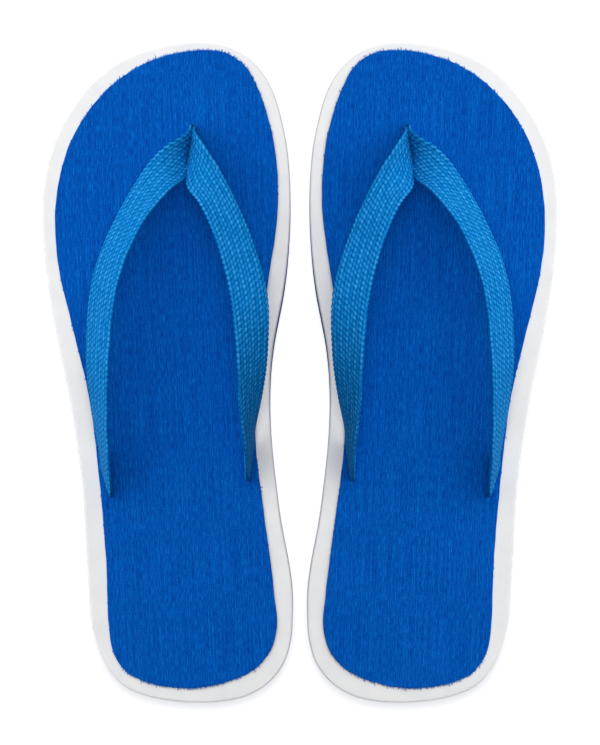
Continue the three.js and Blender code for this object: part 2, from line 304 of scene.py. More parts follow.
def make_piece(shoe, name, points, faces, material):
    """A smooth-shaded piece out of points and faces."""
    mesh = bpy.data.meshes.new(name)
    mesh.from_pydata([tuple(p) for p in points], [], [tuple(f) for f in faces])
    mesh.shade_smooth()
    mesh.update()
    return add_piece(shoe, name, mesh, material)


def rims(node, height):
    """The closed loops of edges where a CAD node's flat face at this height ends, longest first."""
    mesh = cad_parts[node].data
    level = [abs(v.co.z - height) < 0.01 * MM for v in mesh.vertices]
    places = [tuple(np.round(v.co[:2], 7)) for v in mesh.vertices]
    edges = {}
    for polygon in mesh.polygons:
        if all(level[v] for v in polygon.vertices):
            corners = list(polygon.vertices)
            for a, b in zip(corners, corners[1:] + corners[:1]):
                edges[places[a], places[b]] = True
    border = {a: b for a, b in edges if (b, a) not in edges}
    loops = []
    while border:
        start, current = border.popitem()
        loop = [start]
        while current != start:
            loop.append(current)
            current = border.pop(current)
        loops.append(np.array(loop))
    return sorted(loops, key=lambda loop: -np.ptp(loop[:, 1]))


def signed_area(loop):
    """The area inside a loop, negative when it runs clockwise."""
    x, y = loop[:, 0], loop[:, 1]
    return 0.5 * np.sum(x * np.roll(y, -1) - y * np.roll(x, -1))


LOOP_STEPS = 24  # from one corner of a CAD outline to the next
WRAP = 3  # corners repeated past each end of an outline, so that its curve closes smoothly


def smooth_loop(loop, count):
    """The closed curve through the corners of a CAD outline, at even steps."""
    around = np.vstack([loop[-WRAP:], loop, loop[:WRAP]])
    curve = catmull_rom(around, LOOP_STEPS, True)[WRAP * LOOP_STEPS:(WRAP + len(loop)) * LOOP_STEPS]
    closed = np.vstack([curve, curve[:1]])
    steps = np.concatenate([[0], np.cumsum(np.linalg.norm(np.diff(closed, axis=0), axis=1))])
    even = np.linspace(0, steps[-1], count, endpoint=False)
    return np.stack([np.interp(even, steps, closed[:, k]) for k in (0, 1)], axis=1)


def outward(loop):
    """The unit direction out of a closed outline, at each of its points."""
    along = np.roll(loop, -1, axis=0) - np.roll(loop, 1, axis=0)
    along /= np.linalg.norm(along, axis=1)[:, None]
    out = np.stack([along[:, 1], -along[:, 0]], axis=1)
    return out * np.sign(signed_area(loop))


def at_height(loop, z):
    return np.column_stack([loop, np.full(len(loop), z)])


def loft(rings, closed=False):
    """Points and faces through rings of equal length, with flat ends or closed into a band."""
    count = len(rings[0])
    total = len(rings) * count
    faces = []
    for i in range(len(rings) if closed else len(rings) - 1):
        for j in range(count):
            a, b = i * count + j, i * count + (j + 1) % count
            faces.append((a, b, (b + count) % total, (a + count) % total))
    if not closed:
        faces.append(tuple(reversed(range(count))))
        faces.append(tuple(range(total - count, total)))
    return np.vstack(rings), faces


def merge(bodies):
    """One set of points and faces out of several."""
    points, faces = [], []
    start = 0
    for body_points, body_faces in bodies:
        points.append(body_points)
        faces.extend(tuple(v + start for v in face) for face in body_faces)
        start += len(body_points)
    return np.vstack(points), faces


CRISP_ANGLE = 40  # degrees between two faces from which their edge looks sharp


def smooth_with_crisp_corners(mesh):
    """Turns a mesh's faces outward and smooths its shading, except across sharp edges."""
    bm = bmesh.new()
    bm.from_mesh(mesh)
    bmesh.ops.recalc_face_normals(bm, faces=bm.faces)
    for edge in bm.edges:
        edge.smooth = edge.calc_face_angle(0) < math.radians(CRISP_ANGLE)
    bm.to_mesh(mesh)
    bm.free()
    mesh.shade_smooth()


# ---- Webbing ----

WEBBING_WIDTH = 15 * MM
WEBBING_HALF_THICKNESS = 0.72 * MM  # to the middle of the weave
EDGE_SQUARENESS = 9  # of the webbing's cross-section; 2 would be an ellipse
EDGE_FADE = 0.5 * MM  # beside each edge, where the weave flattens
SELVEDGE_SCALLOP = 0.022  # of the half width, where the weft turns back
BUNCHING = 0.5  # of the thickness, just above a heel slot
BUNCH_HEIGHT = 2.4 * MM
BUNCH_REACH = 1.4 * MM

WEAVE_RISE = 0.36 * MM
WEAVE_MIDDLE = 0.6  # the weave height, from 0 to 1, that lies on the webbing's face
WARP_COLUMNS = 11
WARP_PITCH = WEBBING_WIDTH / WARP_COLUMNS
FLOAT_LENGTH = 2.2 * MM  # of one warp yarn's rise and dive
FLOAT_LEAN = 0.35
FLOAT_UNEVENNESS = 0.14  # of a float's height
STAGGER = 0.12  # of a float's length, besides the half step from column to column
WOBBLE = 0.08  # of a float's length
SLANT_WOBBLE = 0.06  # of a column's width
WEFT_SHARE = 0.5  # how high the weft shows between two floats of a yarn

RING_STEP = 0.33 * MM
ROUTE_STEPS = 40  # from one row of a strap's route to the next
FACE_COLUMNS = 60
COLUMNS_TO_EDGES = 0.35  # how much the columns of a face draw together toward its edges
ROUTE_BLUR = 0.6 * MM
TWIST_BLUR = 3 * MM

GAP = 0.3 * MM  # between the webbing and a plate
SLOT_LEAD = 2.4 * MM  # straight out of each slot
SLOT_TOP = 1 * MM  # below the topsheet, where the straight run down the slot starts
SLOT_END = 1.2 * MM  # above the plate's lower face, where it ends
PRESS = 0.6 * MM  # how far the stitching draws each strap in above the toe slot
PRESS_HEIGHT = 14  # above the topsheet in mm, where it draws little more than a third as much
PRESS_REAR = 70  # y in mm behind which it doesn't draw at all
PLATE_BAR = 3 * MM
CAD_THICKNESS = 1.6 * MM
WRAP_SPAN = PLATE_BAR + CAD_THICKNESS + 2 * GAP
WRAP_RADIUS = CAD_THICKNESS / 2 + GAP
PAIR_OFFSET = 0.84 * MM  # of each strap's middle from the toe slot's, where the two press together

# Slots in the left sole: x and y in mm, and the way from the webbing's outer to its inner edge
# in degrees counterclockwise from the x axis.
TOE_SLOT = (-43.8, 91.8, -100)
LATERAL_SLOT = (-77.4, -42.3, -74)
MEDIAL_SLOT = (-20.1, -35.9, -97)

# The CAD straps' routes: x, y and the height above the topsheet in mm, and the way from the
# outer to the inner edge, as degrees counterclockwise from the x axis and an upward slope.
LATERAL_ROUTE = [
    (-45.4, 90, 6, -100, -14),
    (-47.3, 87, 10, -96, -12),
    (-49.9, 83.9, 12.2, -82, -3),
    (-52, 81.1, 14, -67, 15),
    (-55, 77.8, 16.5, -60, 28),
    (-58.7, 73, 19, -54, 35),
    (-67.2, 59.4, 24.6, -27, 44),
    (-75.8, 38, 28.2, -18, 44),
    (-79.4, 8, 27, -4, 50),
    (-79, -16, 20, 5, 66),
    (-78, -30, 13.4, -8, 74),
    (-77.4, -38, 8.2, -68, 42),
]
MEDIAL_ROUTE = [
    (-42.8, 89.8, 6, -100, -12),
    (-41.9, 87, 10.2, -104, -16),
    (-40.7, 84, 12.6, -112, -24),
    (-39.5, 80.6, 14.6, -130, -20),
    (-37.6, 75.8, 17.4, -142, 12),
    (-33.6, 69.4, 21.4, -147, 28),
    (-25.9, 52, 28.2, -161, 25),
    (-20.1, 31, 32, -170, 14),
    (-18.7, 8.4, 30, 178, 36),
    (-19.4, -12, 21.8, 172, 60),
    (-19.9, -24, 14.6, -176, 76),
    (-20.1, -31.6, 8.4, -104, 44),
]


def direction(azimuth, slope=0.0):
    """The unit vector at an angle from the x axis and an upward slope, both in degrees."""
    a, s = math.radians(azimuth), math.radians(slope)
    return np.array([math.cos(s) * math.cos(a), math.cos(s) * math.sin(a), math.sin(s)])


def catmull_rom(points, per_span, centripetal):
    """Points along a Catmull-Rom curve, as three.js draws it."""
    points = np.array(points, float)
    ends = [2 * points[0] - points[1], *points, 2 * points[-1] - points[-2]]
    result = []
    for p0, p1, p2, p3 in zip(ends, ends[1:], ends[2:], ends[3:]):
        gaps = [1.0, 1.0, 1.0]
        if centripetal:
            gaps = [math.sqrt(np.linalg.norm(b - a)) for a, b in ((p0, p1), (p1, p2), (p2, p3))]
        g0, g1, g2 = gaps
        start = ((p1 - p0) / g0 - (p2 - p0) / (g0 + g1) + (p2 - p1) / g1) * g1
        end = ((p2 - p1) / g1 - (p3 - p1) / (g1 + g2) + (p3 - p2) / g2) * g1
        for t in np.arange(per_span) / per_span:
            result.append(
                (2 * t**3 - 3 * t**2 + 1) * p1 + (t**3 - 2 * t**2 + t) * start
                + (3 * t**2 - 2 * t**3) * p2 + (t**3 - t**2) * end
            )
    result.append(points[-1])
    return np.array(result)


def tail_route(slot, offset, turn):
    """The webbing's middle from the topsheet down its slot, round the plate's bar and up again."""
    across = direction(slot[2] + 90)
    profile = [(0, z) for z in np.linspace(SOLE_TOP - SLOT_TOP, PLATE_BOTTOM + SLOT_END, 12)]
    quarter = np.linspace(0, math.pi / 2, 8)
    r = WRAP_RADIUS
    profile += [(r - r * math.cos(a), PLATE_BOTTOM - r * math.sin(a)) for a in quarter]
    profile += [(WRAP_SPAN - r + r * math.sin(a), PLATE_BOTTOM - r * math.cos(a)) for a in quarter]
    profile.append((WRAP_SPAN, PLATE_TOP - GAP))
    middle = np.array([slot[0] * MM, slot[1] * MM, 0])
    return [middle + across * (offset + turn * out) + np.array([0, 0, z]) for out, z in profile]


def strap_route(route, side, heel_slot):
    """The middle line of a strap of the left shoe and the way to its inner edge, evenly spaced."""
    toe_tail = tail_route(TOE_SLOT, side * PAIR_OFFSET, side)[::-1]
    heel_tail = tail_route(heel_slot, 0, -side)
    toe_x, toe_y = toe_tail[-1][0] / MM, toe_tail[-1][1] / MM
    lead = SLOT_LEAD / MM
    rows = [
        (toe_x, toe_y, 0, TOE_SLOT[2], 0),
        (toe_x, toe_y, lead, TOE_SLOT[2], 0),
        *route,
        (heel_slot[0], heel_slot[1], lead, heel_slot[2], 0),
        (heel_slot[0], heel_slot[1], 0, heel_slot[2], 0),
    ]
    across = direction(TOE_SLOT[2] + 90)
    places = []
    for x, y, z, _, _ in rows:
        nearness = math.exp(-((z / PRESS_HEIGHT) ** 4)) if y > PRESS_REAR and z > lead else 0
        places.append(np.array([x * MM, y * MM, SOLE_TOP + z * MM]) - across * side * PRESS * nearness)
    free = catmull_rom(places, ROUTE_STEPS, True)
    edgewards = [direction(azimuth, slope) for *_, azimuth, slope in rows]
    points = np.vstack([toe_tail, free, heel_tail])
    widths = np.vstack([
        [direction(TOE_SLOT[2])] * len(toe_tail),
        catmull_rom(edgewards, ROUTE_STEPS, False),
        [direction(heel_slot[2])] * len(heel_tail),
    ])
    steps = np.linalg.norm(np.diff(points, axis=0), axis=1)
    keep = np.concatenate([[True], steps > 1e-6])
    points, widths = points[keep], widths[keep]
    travel = np.concatenate([[0], np.cumsum(np.linalg.norm(np.diff(points, axis=0), axis=1))])
    even = np.linspace(0, travel[-1], int(travel[-1] / RING_STEP))
    points = np.stack([np.interp(even, travel, points[:, k]) for k in range(3)], axis=1)
    widths = np.stack([np.interp(even, travel, widths[:, k]) for k in range(3)], axis=1)
    return even, blur_rows(points, ROUTE_BLUR / RING_STEP), blur_rows(widths, TWIST_BLUR / RING_STEP)


def blur_rows(values, sigma):
    """Rows smoothed along their order, with the ends held."""
    reach = int(4 * sigma)
    offsets = np.arange(-reach, reach + 1)
    weights = np.exp(-0.5 * (offsets / sigma) ** 2)
    weights /= weights.sum()
    padded = np.concatenate([
        2 * values[:1] - values[reach:0:-1], values, 2 * values[-1:] - values[-2:-reach - 2:-1]
    ])
    columns = [np.convolve(padded[:, k], weights, "valid") for k in range(values.shape[1])]
    return np.stack(columns, axis=1)


def weave_height(along, across, phase):
    """0 to 1: how far the weave stands up, on a webbing face. `phase` shifts it by whole columns."""
    column = np.clip(np.floor(across / WARP_PITCH + WARP_COLUMNS / 2), 0, WARP_COLUMNS - 1)
    x = across / WARP_PITCH + WARP_COLUMNS / 2 - column - 0.5
    stagger = 0.5 * ((column + phase) % 2) + STAGGER * np.sin(column * 5.3 + phase)
    row = np.round(along / FLOAT_LENGTH + stagger)
    wobble = np.sin(row * 12.9898 + column * 78.233 + phase * 3.1)
    y = along / FLOAT_LENGTH + stagger - row + WOBBLE * wobble
    slanted = x + FLOAT_LEAN * y + SLANT_WOBBLE * np.sin(row * 7.31 + column * 3.7)
    warp = np.clip(1 - (1.8 * np.abs(slanted)) ** 2.4, 0, 1) ** 0.6
    warp = warp * np.clip(1 - (2.05 * np.abs(y)) ** 3, 0, 1) ** 0.6
    weft = WEFT_SHARE * np.clip(1 - (2 * np.abs(x)) ** 4, 0, 1)
    return np.maximum(warp * (1 - FLOAT_UNEVENNESS + FLOAT_UNEVENNESS * wobble), weft)


def strap_mesh(route, side, heel_slot):
    """Points, faces, weave heights and yarn coordinates of a strap of the left shoe."""
    travel, middle, edgeward = strap_route(route, side, heel_slot)
    along = np.gradient(middle, axis=0)
    along /= np.linalg.norm(along, axis=1)[:, None]
    wide = edgeward - along * np.sum(edgeward * along, axis=1)[:, None]
    wide /= np.linalg.norm(wide, axis=1)[:, None]
    thick = np.cross(along, wide)

    half = WEBBING_WIDTH / 2
    sweep = np.linspace(-1, 1, FACE_COLUMNS)
    drawn = np.sin(sweep * math.pi / 2 * 0.97)
    across = half * drawn * COLUMNS_TO_EDGES + half * sweep * (1 - COLUMNS_TO_EDGES)
    across *= half / across.max()
    profile = np.sqrt(np.clip(1 - np.abs(across / half) ** EDGE_SQUARENESS, 0, 1))
    lift = middle[:, 2] - SOLE_TOP
    bunched = 1 + BUNCHING * np.exp(-((lift - BUNCH_HEIGHT) / BUNCH_REACH) ** 2) * (middle[:, 1] < 0)
    body = WEBBING_HALF_THICKNESS * bunched[:, None] * profile

    there = slice(0, FACE_COLUMNS)
    back = slice(FACE_COLUMNS - 2, 0, -1)
    edge_fade = np.clip((half - np.abs(across)) / EDGE_FADE, 0, 1)
    scallop = 1 + SELVEDGE_SCALLOP * np.sin(2 * np.pi * travel / FLOAT_LENGTH)[:, None, None]
    rings, heights = [], []
    for columns, sign, phase in ((there, 1, 0), (back, -1, 1)):
        weave = weave_height(travel[:, None], -side * across[None, :], phase)
        out = sign * (body + WEAVE_RISE * (weave - WEAVE_MIDDLE) * edge_fade)[:, columns, None]
        place = across[None, columns, None] * scallop
        rings.append(middle[:, None, :] + wide[:, None, :] * place + thick[:, None, :] * out)
        heights.append(weave[:, columns])
    rings = np.concatenate(rings, axis=1)
    heights = np.concatenate(heights, axis=1)
    spread = np.concatenate([across[there], across[back]])
    rows, count = heights.shape

    first = np.arange(rows - 1)[:, None] * count
    base = (first + np.arange(count)[None, :]).ravel()
    beside = (first + (np.arange(count)[None, :] + 1) % count).ravel()
    faces = np.column_stack([base, base + count, beside + count, beside]).tolist()
    faces.append(list(range(count)))
    faces.append(list(range(rows * count - 1, (rows - 1) * count - 1, -1)))
    yarn = np.stack(np.broadcast_arrays(travel[:, None], spread[None, :]), axis=-1)
    return rings.reshape(-1, 3), faces, heights.ravel(), yarn.reshape(-1, 2)


def make_strap(shoe, name, route, side, heel_slot, material):
    """A strap with its weave, mirrored from the left shoe for the right one."""
    points, faces, heights, yarn = strap_mesh(route, side, heel_slot)
    if SIDES[shoe] < 0:
        points = points * (-1, 1, 1)
        faces = [face[::-1] for face in faces]
    piece = make_piece(shoe, f"{name}_webbing", points, faces, material)
    mesh = piece.data
    mesh.attributes.new("weave", "FLOAT", "POINT").data.foreach_set("value", heights.astype(np.float32))
    corner = np.zeros(len(mesh.loops), np.int32)
    mesh.loops.foreach_get("vertex_index", corner)
    mesh.uv_layers.new(name="yarn").data.foreach_set("uv", yarn[corner].astype(np.float32).ravel())
    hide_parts(f"{shoe}_{name}")


# ---- The sole's layers ----

OUTLINE_POINTS = 420
ROUNDING = 0.8 * MM  # of the sole's upper and lower rims
SEAM = 0.15 * MM  # rounding of the rims where two foam layers meet
CLOTH_EDGE = 0.35 * MM  # rounding of the cloth's upper edge
CLOTH_WANDER = 0.1 * MM  # of the cloth's cut edge
OVERHANG = 0.5 * MM  # of the footbed past the CAD one, except at the waist on the big-toe side
WAIST = 22 * MM
WAIST_REACH = 30 * MM
CUT_ROUNDNESS = 0.5  # 1 would be an ellipse, 0 a rectangle
CUT_SHORT = 0.25 * MM  # of the webbing's edge at each end of a slit
CUT_ROOM = 0.05 * MM


def rounded_profile(bottom, top, low_round, high_round, flat=0.4 * MM):
    """(height, inset) pairs up the wall of a slab with its two rims rounded."""
    quarter = np.linspace(0, math.pi / 2, 6)
    low = [(bottom + low_round * (1 - math.cos(a)), low_round * (1 - math.sin(a))) for a in quarter]
    high = [(top - high_round * (1 - math.sin(a)), high_round * (1 - math.cos(a))) for a in quarter]
    return [(bottom, low_round + flat)] + low + high + [(top, high_round + flat)]


def fill(loops):
    """Triangles that fill outlines but not the loops inside them, as indices into all the points."""
    flat = np.vstack(loops)
    ahead = np.vstack([np.roll(loop, -1, axis=0) for loop in loops])
    edges = []
    start = 0
    for loop in loops:
        edges += [(start + i, start + (i + 1) % len(loop)) for i in range(len(loop))]
        start += len(loop)
    _, _, made, source, _, _ = delaunay_2d_cdt([Vector(p / MM) for p in flat], edges, [], 0, 1e-5)
    triangles = np.array([[source[v][0] for v in face] for face in made])
    centre = flat[triangles].mean(axis=1)[:, None, :]
    spans = (flat[:, 1] > centre[:, :, 1]) != (ahead[:, 1] > centre[:, :, 1])
    rise = np.where(flat[:, 1] == ahead[:, 1], 1, ahead[:, 1] - flat[:, 1])
    crossing = flat[:, 0] + (centre[:, :, 1] - flat[:, 1]) / rise * (ahead[:, 0] - flat[:, 0])
    inside = np.sum(spans & (crossing > centre[:, :, 0]), axis=1) % 2 == 1
    return triangles[inside]


def slab_mesh(rings, holes, levels):
    """A slab with the given outline rings, bottom to top, and straight holes cut at given heights.

    `holes` holds (loop, bottom, top); `levels` are the heights of flat faces: the slab's bottom
    and top, and the ceilings of recesses.
    """
    bm = bmesh.new()

    def ring_vertices(ring):
        return [bm.verts.new(p) for p in ring]

    def wall(lower, upper):
        count = len(lower)
        for i in range(count):
            after = (i + 1) % count
            bm.faces.new((lower[i], lower[after], upper[after], upper[i]))

    at_level = {round(z, 6): [] for z in levels}
    made = [ring_vertices(ring) for ring in rings]
    for lower, upper in zip(made, made[1:]):
        wall(lower, upper)
    at_level[round(rings[0][0][2], 6)].append(made[0])
    at_level[round(rings[-1][0][2], 6)].append(made[-1])
    for loop, bottom, top in holes:
        lower = ring_vertices(at_height(loop, bottom))
        upper = ring_vertices(at_height(loop, top))
        wall(lower, upper)
        at_level[round(bottom, 6)].append(lower)
        at_level[round(top, 6)].append(upper)
    for loops in at_level.values():
        corners = [v for loop in loops for v in loop]
        for triangle in fill([np.array([v.co[:2] for v in loop]) for loop in loops]):
            bm.faces.new([corners[v] for v in triangle])
    mesh = bpy.data.meshes.new("slab")
    bm.to_mesh(mesh)
    bm.free()
    smooth_with_crisp_corners(mesh)
    return mesh


def make_layer(shoe, name, material, outline, holes, profile, wander=0.0, levels=(), grow=0.0):
    """A layer of the sole: its outline lofted up a wall profile, with holes cut through it.

    `wander` ripples its edge, and `grow` widens it everywhere but at the waist.
    """
    outline = smooth_loop(outline, OUTLINE_POINTS)
    out = outward(outline)
    turn = np.linspace(0, 2 * np.pi, OUTLINE_POINTS, endpoint=False)
    ripple = wander * (np.sin(23 * turn + 1) + np.sin(41 * turn) + np.sin(67 * turn + 2)) / 3
    toward_big_toe = np.clip(out[:, 0] * SIDES[shoe], 0, 1)
    waist = toward_big_toe * np.exp(-((outline[:, 1] - WAIST) / WAIST_REACH) ** 2)
    shift = -(ripple + grow * (1 - waist))[:, None]
    rings = [at_height(outline - out * (inset + shift), z) for z, inset in profile]
    levels = (profile[0][0], profile[-1][0], *levels)
    return add_piece(shoe, name, slab_mesh(rings, holes, levels), material)


def cut_loop(shoe, slot, half_width):
    """A slit that closes in on the webbing passing through it."""
    turn = np.linspace(0, 2 * np.pi, 48, endpoint=False)
    along, across = direction(slot[2])[:2], direction(slot[2] + 90)[:2]
    u = np.sign(np.cos(turn)) * np.abs(np.cos(turn)) ** CUT_ROUNDNESS * (WEBBING_WIDTH / 2 - CUT_SHORT)
    v = np.sign(np.sin(turn)) * np.abs(np.sin(turn)) ** CUT_ROUNDNESS * (half_width + CUT_ROOM)
    loop = np.array(slot[:2]) * MM + np.outer(u, along) + np.outer(v, across)
    return loop * (SIDES[shoe], 1)


def make_sole(shoe, materials):
    """The cloth, the three foam layers and the tread of one shoe; returns the cloth's outline."""
    slots = rims(f"{shoe}_midsole_foam", MIDSOLE_TOP)[1:]
    recesses = rims(f"{shoe}_outsole", OUTSOLE_TOP)[1:]
    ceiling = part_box(f"{shoe}_toe_anchor_plate")[1][2] + GAP

    cloth_outline = rims(f"{shoe}_fabric_topsheet", SOLE_TOP)[0]
    cuts = [
        cut_loop(shoe, TOE_SLOT, PAIR_OFFSET + WEBBING_HALF_THICKNESS),
        cut_loop(shoe, LATERAL_SLOT, WEBBING_HALF_THICKNESS),
        cut_loop(shoe, MEDIAL_SLOT, WEBBING_HALF_THICKNESS),
    ]
    cloth = make_layer(
        shoe, "topsheet_cloth", materials["fabric", shoe], cloth_outline,
        [(cut, FOOTBED_TOP, SOLE_TOP) for cut in cuts],
        rounded_profile(FOOTBED_TOP, SOLE_TOP, 0.1 * MM, CLOTH_EDGE, flat=0.1 * MM),
        wander=CLOTH_WANDER,
    )
    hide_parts(f"{shoe}_fabric_topsheet")

    bed = make_layer(
        shoe, "footbed_layer", materials["white foam"],
        rims(f"{shoe}_footbed_foam", MIDSOLE_TOP)[0],
        [(cut, MIDSOLE_TOP, FOOTBED_TOP) for cut in cuts],
        rounded_profile(MIDSOLE_TOP, FOOTBED_TOP, SEAM, ROUNDING),
        grow=OVERHANG,
    )
    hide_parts(f"{shoe}_footbed_foam")

    middle = make_layer(
        shoe, "midsole_layer", materials["blue foam"],
        rims(f"{shoe}_midsole_foam", MIDSOLE_TOP)[0],
        [(slot, ceiling, MIDSOLE_TOP) for slot in slots] + [(r, OUTSOLE_TOP, ceiling) for r in recesses],
        rounded_profile(OUTSOLE_TOP, MIDSOLE_TOP, SEAM, SEAM),
        levels=(ceiling,),
    )
    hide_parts(f"{shoe}_midsole_foam")

    outsole_outline = rims(f"{shoe}_outsole", OUTSOLE_TOP)[0]
    outsole = make_layer(
        shoe, "outsole_layer", materials["tread foam"], outsole_outline,
        [(recess, GROUND + TREAD_DEPTH, OUTSOLE_TOP) for recess in recesses],
        rounded_profile(GROUND + TREAD_DEPTH, OUTSOLE_TOP, ROUNDING, SEAM),
    )
    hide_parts(f"{shoe}_outsole")
    make_tread(shoe, materials["tread foam"], smooth_loop(outsole_outline, OUTLINE_POINTS), recesses)

    return cloth_outline


# ---- Outsole with its tread ----

TREAD_DEPTH = 1.1 * MM
RIB_PITCH = 6 * MM
RIB_WIDTH = 3.6 * MM
RIB_WAVE = 1.6 * MM
RIB_WAVELENGTH = 17 * MM
RIB_REACH = RIB_WAVE + RIB_WIDTH / 2  # of a rib to each side of its middle line
RIB_MARGIN = 4.5 * MM  # from the outline to a rib's end
RIB_STEP = 1 * MM
RIB_SINK = 0.4 * MM  # of a rib's roots into the outsole
RIB_CHAMFER = 0.3 * MM
RIB_SHOULDER = 0.86  # of a rib's half width, where its chamfer starts
RIB_CROWN = 0.7  # of its half width, where the chamfer ends
RIB_TIP = 0.55  # of its width, at each end
SHORTEST_RIB = 8 * MM
HEEL_ROOM = 9 * MM  # from the outline to the rearmost rib
TOE_ROOM = 8 * MM
RECESS_ROOM = (3 * MM, 4 * MM)  # beside a recess, in x and in y
# The rim band's section: inset from the outline and height from the ribs' roots, in mm.
RIM_BAND = [(3.2, 0.4), (3.0, -0.8), (2.8, -1.1), (1.3, -1.1), (1.0, -0.8), (0.8, 0.4)]


def crossings(loop, level):
    """Where a closed outline crosses y = `level`, as sorted x values."""
    after = np.roll(loop, -1, axis=0)
    hit = (loop[:, 1] - level) * (after[:, 1] - level) < 0
    a, b = loop[hit], after[hit]
    return np.sort(a[:, 0] + (level - a[:, 1]) / (b[:, 1] - a[:, 1]) * (b[:, 0] - a[:, 0]))


def spans_inside(y, outline, holes):
    """The stretches of x for ribs at this y that lie inside the outline and clear of the holes."""
    edges = [crossings(outline, y + reach) for reach in (-RIB_REACH, 0, RIB_REACH)]
    if min(len(edge) for edge in edges) < 2:
        return []
    start = max(edge[0] for edge in edges) + RIB_MARGIN
    end = min(edge[-1] for edge in edges) - RIB_MARGIN
    spans = [(start, end)]
    for hole in holes:
        low, high = hole.min(axis=0) - RECESS_ROOM, hole.max(axis=0) + RECESS_ROOM
        if low[1] < y < high[1]:
            spans = [span for a, b in spans for span in ((a, min(b, low[0])), (max(a, high[0]), b))]
    return [(a, b) for a, b in spans if b - a > SHORTEST_RIB]


def rib(y, start, end):
    """Rings of one wavy tread rib along x."""
    xs = np.linspace(start, end, max(4, int((end - start) / RIB_STEP)))
    rings = []
    for i, x in enumerate(xs):
        from_end = min(i, len(xs) - 1 - i)
        taper = min(1.0, RIB_TIP + (1 - RIB_TIP) * from_end / 2)
        mid = y + RIB_WAVE * math.sin(2 * math.pi * x / RIB_WAVELENGTH)
        w = RIB_WIDTH / 2 * taper
        root = TREAD_DEPTH + RIB_SINK
        left = [(-w, root), (-w * RIB_SHOULDER, RIB_CHAMFER), (-w * RIB_CROWN, 0)]
        section = left + [(-dy, z) for dy, z in reversed(left)]
        rings.append(np.array([(x, mid + dy, GROUND + z) for dy, z in section]))
    return rings


def make_tread(shoe, material, outline, recesses):
    """Wavy ribs across the underside, clear of the recesses, and a rim band round them."""
    rearmost = outline[:, 1].min() + HEEL_ROOM
    foremost = outline[:, 1].max() - TOE_ROOM
    bodies = []
    for y in np.arange(rearmost, foremost, RIB_PITCH):
        for start, end in spans_inside(y, outline, recesses):
            bodies.append(loft(rib(y, start, end)))
    out = outward(outline)
    roots = GROUND + TREAD_DEPTH
    band = [at_height(outline - out * inset * MM, roots + z * MM) for inset, z in RIM_BAND]
    bodies.append(loft(np.swapaxes(np.array(band), 0, 1), closed=True))
    points, faces = merge(bodies)
    mesh = bpy.data.meshes.new("tread")
    mesh.from_pydata(points.tolist(), [], faces)
    smooth_with_crisp_corners(mesh)
    tread = add_piece(shoe, "tread_ribs", mesh, material)
    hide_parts(f"{shoe}_outsole")


# ---- Threads ----

FRAY_LEAN = -6  # degrees, counterclockwise from the left shoe's length to the loose ends
FRAY_LENGTHS = (0.3, 0.95)  # in mm
FRAY_SPREAD = 0.28  # random part of an end's heading, sideways and lengthwise
FRAY_CURL = 0.15  # of its length
FRAY_SHARE = 0.85  # of the places where the cut edge runs square across the yarns
LONG_FRAYS = 0.1  # of all, and this much longer:
LONG_FRAY = 1.8
FRAY_POINTS = 3000  # round the cloth, at every second of which an end may stand
FRAY_ROOT = 0.3 * MM  # inside the cloth
FRAY_DROOP = 0.35 * MM
FRAY_RADII = np.array([0.17, 0.15, 0.06]) * MM
STITCHES = 4
STITCH_PITCH = 3.2 * MM
STITCH_STANDOFF = 0.45 * MM  # of the thread from the CAD webbing's faces
THREAD_RADIUS = 0.24 * MM  # of each of its two strands
STRAND_OFFSET = 0.2 * MM
TWIST_LENGTH = 1.1 * MM


def tube(path, radius, sides):
    """Rings of a round tube along a path of points."""
    path = np.array(path, float)
    along = np.gradient(path, axis=0)
    along /= np.linalg.norm(along, axis=1)[:, None]
    up = np.array([0.13, 0.31, 0.94])  # a direction that none of the paths runs along
    side = np.cross(along, up)
    side /= np.linalg.norm(side, axis=1)[:, None]
    up = np.cross(side, along)
    radii = np.broadcast_to(radius, len(path))
    angles = np.linspace(0, 2 * np.pi, sides, endpoint=False)
    return [p + r * (np.outer(np.cos(angles), s) + np.outer(np.sin(angles), u))
            for p, r, s, u in zip(path, radii, side, up)]


def make_frays(shoe, sheet_outline, material):
    """Short yarn ends that stand out of the cloth's cut edge at the toe and the heel."""
    outline = smooth_loop(sheet_outline, FRAY_POINTS)
    out = outward(outline)
    lean = math.radians(FRAY_LEAN) * SIDES[shoe]
    warp = np.array([-math.sin(lean), math.cos(lean)])
    bodies = []
    for i in range(0, FRAY_POINTS, 2):
        facing = abs(out[i] @ warp)
        if rng.random() > facing ** 2 * FRAY_SHARE:
            continue
        length = rng.uniform(*FRAY_LENGTHS) * MM
        if rng.random() < LONG_FRAYS:
            length *= LONG_FRAY
        heading = warp * np.sign(out[i] @ warp) + rng.normal(0, FRAY_SPREAD, 2)
        heading /= np.linalg.norm(heading)
        start = outline[i] - heading * FRAY_ROOT
        z = rng.uniform(FOOTBED_TOP + 0.25 * MM, SOLE_TOP - 0.15 * MM)
        curl = rng.normal(0, FRAY_CURL, 2) * length
        droop = FRAY_DROOP if z > FOOTBED_TOP + 0.5 * MM else 0
        path = []
        for t in (0, 0.5, 1):
            x, y = start + heading * (FRAY_ROOT + length) * t + curl * t * t
            path.append((x, y, z - droop * t * t))
        bodies.append(loft(tube(path, FRAY_RADII, 4)))
    points, faces = merge(bodies)
    make_piece(shoe, "frayed_yarn_ends", points, faces, material)


